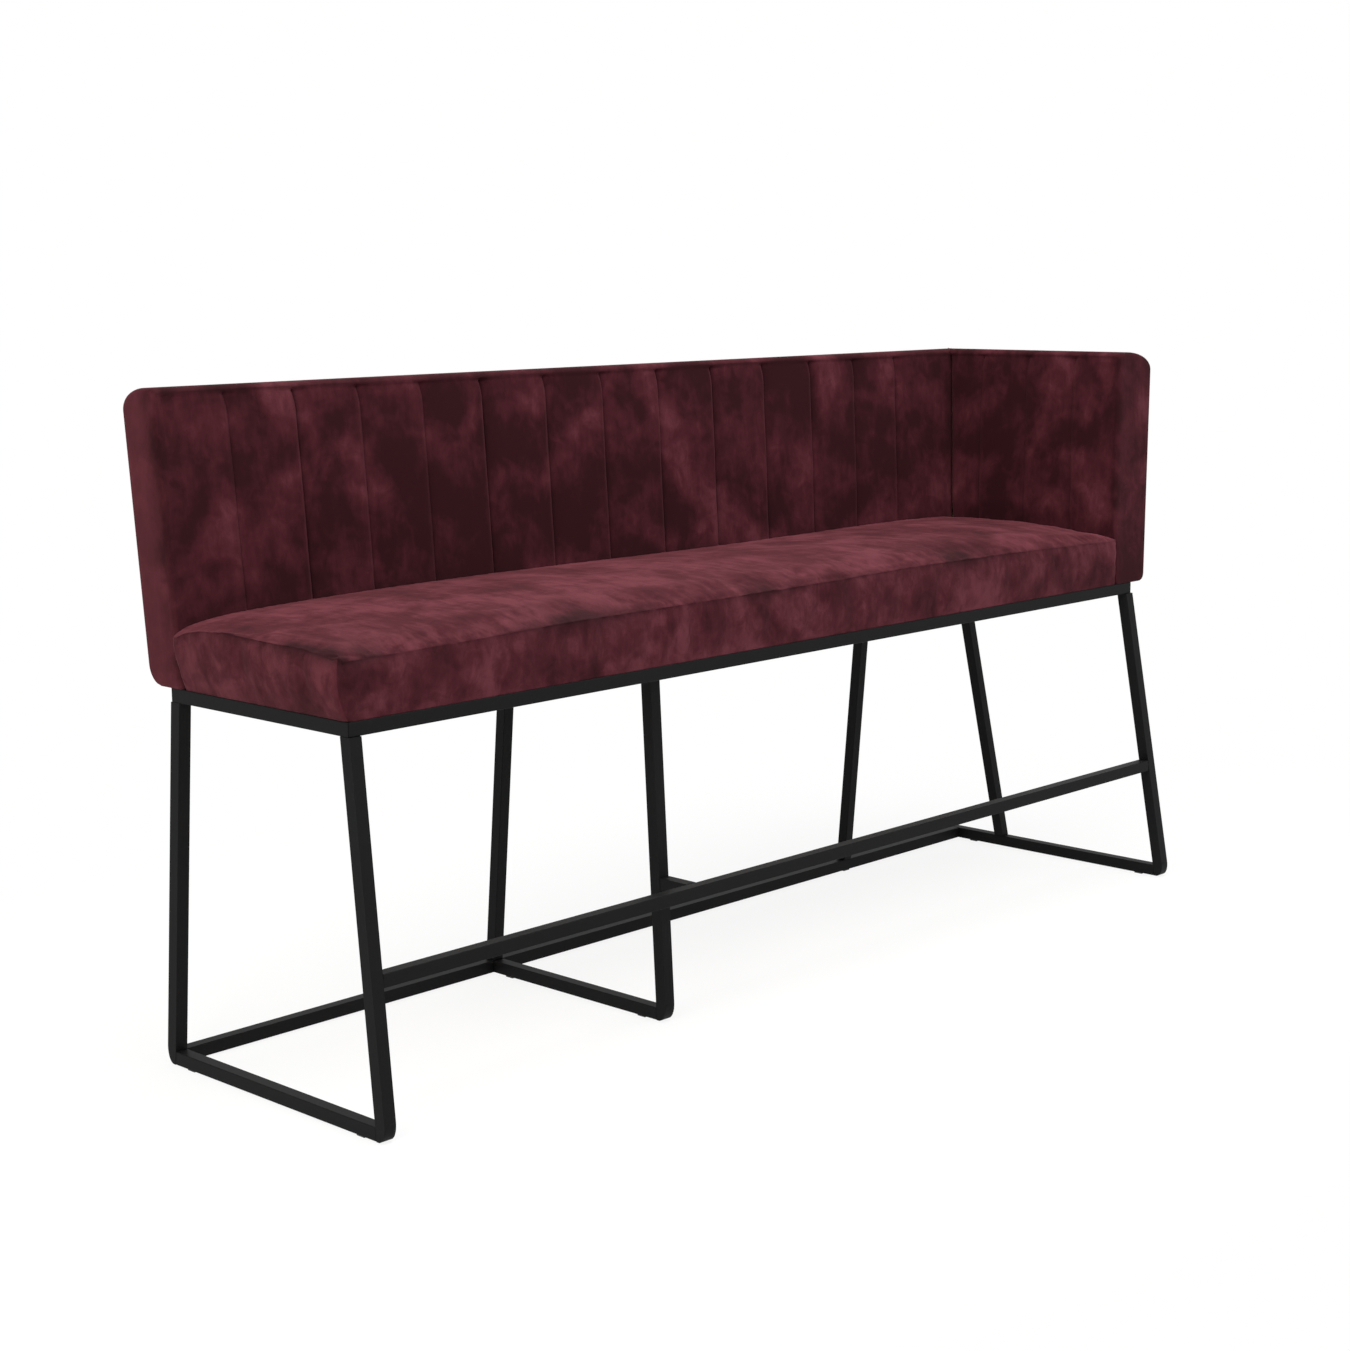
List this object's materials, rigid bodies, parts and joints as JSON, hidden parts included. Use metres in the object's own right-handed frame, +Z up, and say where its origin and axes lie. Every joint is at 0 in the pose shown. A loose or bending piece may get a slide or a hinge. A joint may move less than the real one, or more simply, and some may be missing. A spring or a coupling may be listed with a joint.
{
  "type": "bar banquette",
  "caption": "Long counter-height bench with a boxed velvet seat, a reclined channelled back, one closed end and a leaning steel tube base with a footrest bar.",
  "frame": {"origin": "on the floor, under the middle of the bench's outside box", "axes": "+X along the bench towards its closed end, +Y from the open front to the back, +Z up"},
  "size_m": [1.9144, 0.5404, 0.9815],
  "materials": {
    "black_powder_coat": "fine satin powder coat",
    "zinc_screw": "zinc plated",
    "frame_timber": "sawn softwood",
    "plywood": "sanded plywood",
    "burgundy_velvet": "mottled velvet",
    "cushion_foam": "upholstery foam",
    "glide_plastic": "moulded"
  },
  "bodies": {
    "root": {"left_front_post": "black_powder_coat", "left_rear_post": "black_powder_coat", "mid_front_post": "black_powder_coat", "mid_rear_post": "black_powder_coat", "rear_support_post": "black_powder_coat", "right_front_post": "black_powder_coat", "right_rear_post": "black_powder_coat", "left_floor_rail": "black_powder_coat", "mid_floor_rail": "black_powder_coat", "right_floor_rail": "black_powder_coat", "floor_stretcher": "black_powder_coat", "footrest_bar": "black_powder_coat", "footrest_stub": "black_powder_coat", "seat_front_rail": "black_powder_coat", "seat_rear_rail": "black_powder_coat", "seat_left_rail": "black_powder_coat", "seat_right_rail": "black_powder_coat", "mid_cross_rail": "black_powder_coat", "second_cross_rail": "black_powder_coat", "deck_tabs": "black_powder_coat", "back_tabs": "black_powder_coat", "arm_tabs": "black_powder_coat", "deck_screws": "zinc_screw", "panel_screws": "zinc_screw", "back_bottom_rail": "frame_timber", "back_top_rail": "frame_timber", "back_uprights": "frame_timber", "arm_bottom_rail": "frame_timber", "arm_top_rail": "frame_timber", "arm_uprights": "frame_timber", "seat_deck": "plywood", "back_board": "plywood", "arm_board": "plywood", "seat_boxing": "burgundy_velvet", "seat_top_panel": "burgundy_velvet", "back_outer_cover": "burgundy_velvet", "back_channel_pad": "burgundy_velvet", "arm_outer_cover": "burgundy_velvet", "arm_channel_pad": "burgundy_velvet", "seat_foam": "cushion_foam", "floor_glides": "glide_plastic"}
  },
  "joints": []
}
